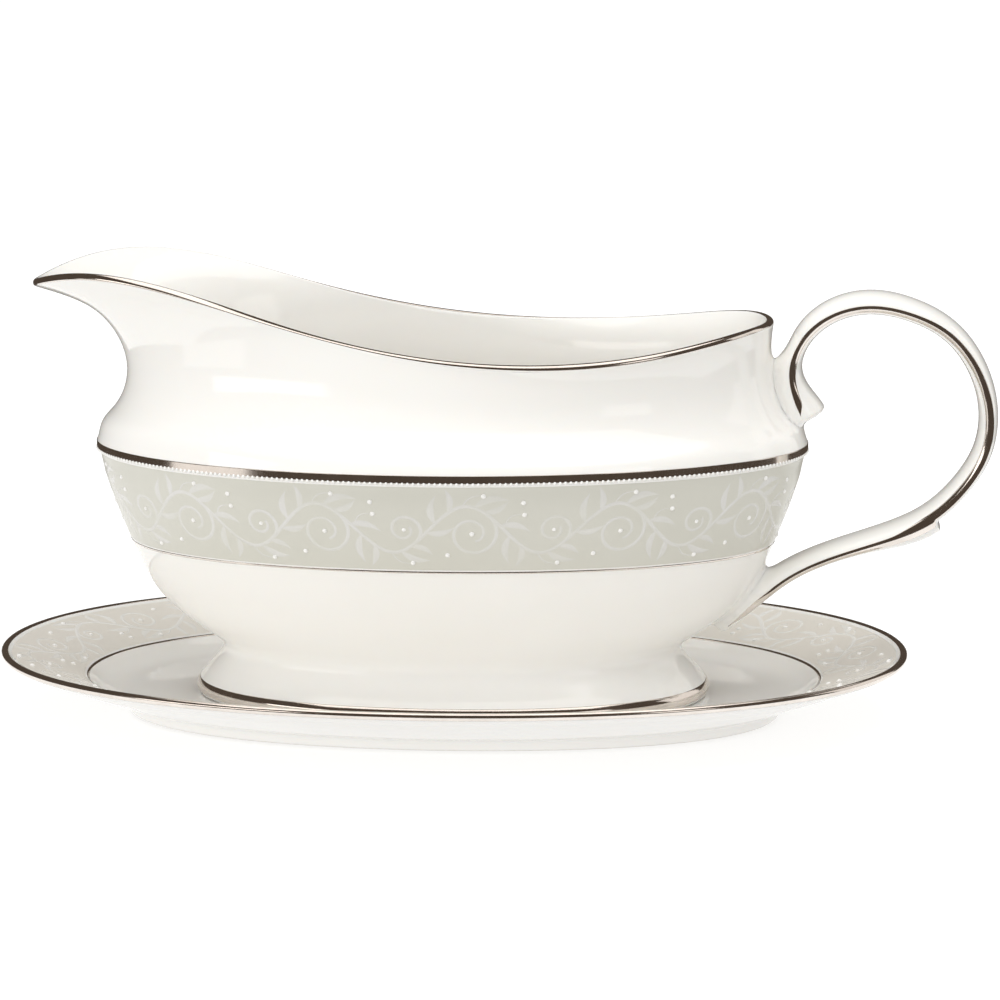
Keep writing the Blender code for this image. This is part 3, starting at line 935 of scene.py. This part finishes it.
def relief(name, border, margin, material, body):
    """The scrolls of a whole border as one mesh, and its dots as another."""
    repeats = max(1, round(border.length / VINE_PITCH))
    pitch = border.length / repeats
    strokes, dots = motif(pitch, border.height - 2 * margin)
    points = []
    faces = []
    total = 0
    profile = np.array((-1.0, -0.62, 0.0, 0.62, 1.0))
    shape = np.array((-0.03, 0.72, 1.0, 0.72, -0.03))
    for repeat in range(repeats):
        for line, half, lift in strokes:
            line = line.copy()
            line[:, 0] += repeat * pitch
            line[:, 1] += margin
            heading = unit(np.gradient(line, axis=0))
            side = np.stack([-heading[:, 1], heading[:, 0]], 1)
            u = line[:, :1] + side[:, :1] * half[:, None] * profile
            v = line[:, 1:] + side[:, 1:] * half[:, None] * profile
            v = np.clip(v, 0.3, border.height - 0.3)
            grid = border.place(u, v, 0.02 + lift[:, None] * shape)
            rows, columns = u.shape
            points.append(grid.reshape(-1, 3))
            faces += [f[::-1] for f in grid_faces(rows, columns, wrap_columns=False, start=total)]
            total += rows * columns
    obj = add_mesh(name + "_scrolls", np.concatenate(points), faces, [material])
    piece(obj, body, "ivory_enamel")
    spots = [(u + r * pitch, v + margin, size) for r in range(repeats) for u, v, size in dots]
    obj = domes(name + "_dots", border, spots, 0.72)
    piece(obj, body, "ivory_enamel")


def domes(name, border, spots, tall, segments=12, rings=4):
    """Small raised drops at (u, v, radius)."""
    points = []
    faces = []
    turn = np.linspace(0, 2 * np.pi, segments, endpoint=False)
    for u, v, size in spots:
        start_at = len(points)
        for k in range(rings):
            lean = 0.5 * np.pi * k / rings
            ring_u = u + size * math.cos(lean) * np.cos(turn)
            ring_v = v + size * math.cos(lean) * np.sin(turn)
            up = np.full(segments, size * tall * math.sin(lean))
            points.extend(border.place(ring_u, ring_v, up))
        points.append(border.place(np.array(u), np.array(v), np.array(size * tall)))
        for k in range(rings - 1):
            for j in range(segments):
                n = (j + 1) % segments
                a = start_at + k * segments
                faces.append((a + j, a + n, a + segments + n, a + segments + j))
        a = start_at + (rings - 1) * segments
        peak = start_at + rings * segments
        for j in range(segments):
            faces.append((a + j, a + (j + 1) % segments, peak))
    return add_mesh(name, np.array(points), faces, [bead])


boat_border = Border(border, border_normals)
relief("boat_border", boat_border, 0.9, vine, "boat")
stand_border = Border(flange, flange_normals)
relief("stand_border", stand_border, 0.7, stand_vine, "stand")

strip = rows_between(outside, BEAD_Z - 0.9, BEAD_Z + 0.9, 20)
strip_border = Border(strip, grid_normals(strip))
count = int(round(strip_border.length / BEAD_PITCH))
step = strip_border.length / count
spots = [(i * step, strip_border.height / 2, BEAD_RADIUS) for i in range(count)]
beads = domes("boat_bead_row", strip_border, spots, BEAD_TALL, 12, 4)
piece(beads, "boat", "glazed_china", "boat_bead_border")

# ---------------------------------------------------------------- camera
AZIMUTH = math.radians(5.52)
ELEVATION = math.radians(10.46)
ROLL = math.radians(-0.29)
DISTANCE = 1.0
target = Vector((CENTRE.x + 12.38 * UNIT, 0.0, 54.68 * UNIT))
back = Vector((
    math.sin(AZIMUTH) * math.cos(ELEVATION),
    -math.cos(AZIMUTH) * math.cos(ELEVATION),
    math.sin(ELEVATION)))
camera_data = bpy.data.cameras.new("photo_camera")
camera_data.sensor_width = 36.0
camera_data.lens = 142.9
camera = bpy.data.objects.new("photo_camera", camera_data)
bpy.context.scene.collection.objects.link(camera)
turned = back.to_track_quat("Z", "Y").to_matrix().to_4x4()
stands_at = Matrix.Translation(target + back * DISTANCE)
camera.matrix_world = stands_at @ turned @ Matrix.Rotation(ROLL, 4, "Z")
bpy.context.scene.camera = camera


# ---------------------------------------------------------------- studio
def floor_material(name, glow):
    material, nodes, links, shader = new_material(name)
    cloud = noise(nodes, links, 3.0, 2.0)
    links.new(ramp(nodes, links, cloud, (0.60, 0.60, 0.60), (0.62, 0.62, 0.62)), shader.inputs["Base Color"])
    shader.inputs["Emission Color"].default_value = (1.0, 1.0, 1.0, 1)
    links.new(reach(nodes, links, cloud, 0.85, 0.95), shader.inputs["Roughness"])
    shader.inputs["Emission Strength"].default_value = glow
    shader.inputs["Specular IOR Level"].default_value = 0.1
    return material


def glow_material(name, colour, strength):
    material = bpy.data.materials.new(name)
    material.use_nodes = True
    nodes = material.node_tree.nodes
    links = material.node_tree.links
    nodes.clear()
    result = nodes.new("ShaderNodeOutputMaterial")
    glow = nodes.new("ShaderNodeEmission")
    cloud = noise(nodes, links, 1.5, 1.0)
    links.new(ramp(nodes, links, cloud, colour, colour), glow.inputs["Color"])
    glow.inputs["Strength"].default_value = strength
    links.new(glow.outputs["Emission"], result.inputs["Surface"])
    return material


def flat_card(name, width, height, centre, normal, material):
    obj_mesh = bpy.data.meshes.new(name)
    w, h = width / 2, height / 2
    obj_mesh.from_pydata([(-w, -h, 0), (w, -h, 0), (w, h, 0), (-w, h, 0)], [], [(0, 1, 2, 3)])
    obj_mesh.materials.append(material)
    obj = bpy.data.objects.new(name, obj_mesh)
    bpy.context.scene.collection.objects.link(obj)
    facing = Vector(normal).to_track_quat("Z", "Y").to_matrix().to_4x4()
    obj.matrix_world = Matrix.Translation(Vector(centre)) @ facing
    return obj


def area_light(name, width, height, centre, aim, power):
    light = bpy.data.lights.new(name, "AREA")
    light.shape = "RECTANGLE"
    light.size = width
    light.size_y = height
    light.energy = power
    obj = bpy.data.objects.new(name, light)
    bpy.context.scene.collection.objects.link(obj)
    direction = Vector(centre) - Vector(aim)
    facing = direction.to_track_quat("Z", "Y").to_matrix().to_4x4()
    obj.matrix_world = Matrix.Translation(Vector(centre)) @ facing
    return obj


FLOOR_GLOW = 0.57
TABLE_GLOW = 0.52
LOOK_Z = 0.06              # metres up that the lights and cards turn to
CARD_DISTANCE = 1.2
CARD_COLOUR = (1.0, 0.96, 0.92)
wide_floor = flat_card("studio_floor", 14.0, 14.0, (0, 0, -0.0008), (0, 0, 1),
                       floor_material("studio_floor", FLOOR_GLOW))
near_floor = flat_card("studio_table", 0.62, 0.33, (0, 0.05, -0.0004), (0, 0, 1),
                       floor_material("studio_table", TABLE_GLOW))
wide_floor.visible_glossy = False
wide_floor.visible_diffuse = False
near_floor.visible_diffuse = False


def aim_from(azimuth, elevation, distance):
    """A place round the boat: azimuth 0 is in front, positive to the right."""
    a = math.radians(azimuth)
    e = math.radians(elevation)
    return Vector((
        math.sin(a) * math.cos(e) * distance,
        -math.cos(a) * math.cos(e) * distance,
        math.sin(e) * distance + LOOK_Z))


def mirror_card(name, azimuth, elevation, width, height, strength):
    """A lit card that only shows in reflections."""
    place = aim_from(azimuth, elevation, CARD_DISTANCE)
    facing = Vector((0, 0, LOOK_Z)) - place
    card = flat_card(name, width, height, place, facing, glow_material(name, CARD_COLOUR, strength))
    card.visible_camera = False
    card.visible_diffuse = False
    card.visible_shadow = False
    card.visible_transmission = False
    return card


world = bpy.data.worlds.new("studio")
bpy.context.scene.world = world
world.use_nodes = True
tree = world.node_tree
tree.nodes.clear()
output = tree.nodes.new("ShaderNodeOutputWorld")
soft = tree.nodes.new("ShaderNodeBackground")
soft.inputs["Color"].default_value = (1.0, 0.995, 0.985, 1)
soft.inputs["Strength"].default_value = 0.84
dark = tree.nodes.new("ShaderNodeBackground")
dark.inputs["Color"].default_value = (0.085, 0.066, 0.052, 1)
dark.inputs["Strength"].default_value = 1.0
pale = tree.nodes.new("ShaderNodeBackground")
pale.inputs["Color"].default_value = (0.97, 0.97, 0.97, 1)
path = tree.nodes.new("ShaderNodeLightPath")
glossy_mix = tree.nodes.new("ShaderNodeMixShader")
camera_mix = tree.nodes.new("ShaderNodeMixShader")
tree.links.new(path.outputs["Is Glossy Ray"], glossy_mix.inputs[0])
tree.links.new(soft.outputs[0], glossy_mix.inputs[1])
tree.links.new(dark.outputs[0], glossy_mix.inputs[2])
tree.links.new(path.outputs["Is Camera Ray"], camera_mix.inputs[0])
tree.links.new(glossy_mix.outputs[0], camera_mix.inputs[1])
tree.links.new(pale.outputs[0], camera_mix.inputs[2])
tree.links.new(camera_mix.outputs[0], output.inputs["Surface"])

left_key = area_light("left_key", 0.76, 0.36, aim_from(-43, 11, 1.15), (0, 0, 0.06), 0.4)
front_fill = area_light("front_fill", 1.3, 0.3, aim_from(-38, 1.5, 1.35), (0, 0, 0.03), 4.3)
top_fill = area_light("top_fill", 1.0, 1.0, (0.08, -0.25, 1.3), (0, 0, 0.05), 6.8)
for light in (left_key, front_fill, top_fill):
    light.visible_glossy = False
mirror_card("left_card", -43, 10, 0.72, 0.27, 2.4)
mirror_card("low_left_card", -61, -12, 0.55, 0.34, 1.1)
mirror_card("right_card", 39, 12, 0.30, 0.5, 1.3)
mirror_card("far_right_card", 112, 16, 1.0, 0.9, 1.0)
mirror_card("top_card", 0, 82, 1.5, 1.2, 1.6)

bpy.context.scene.view_settings.view_transform = "Standard"
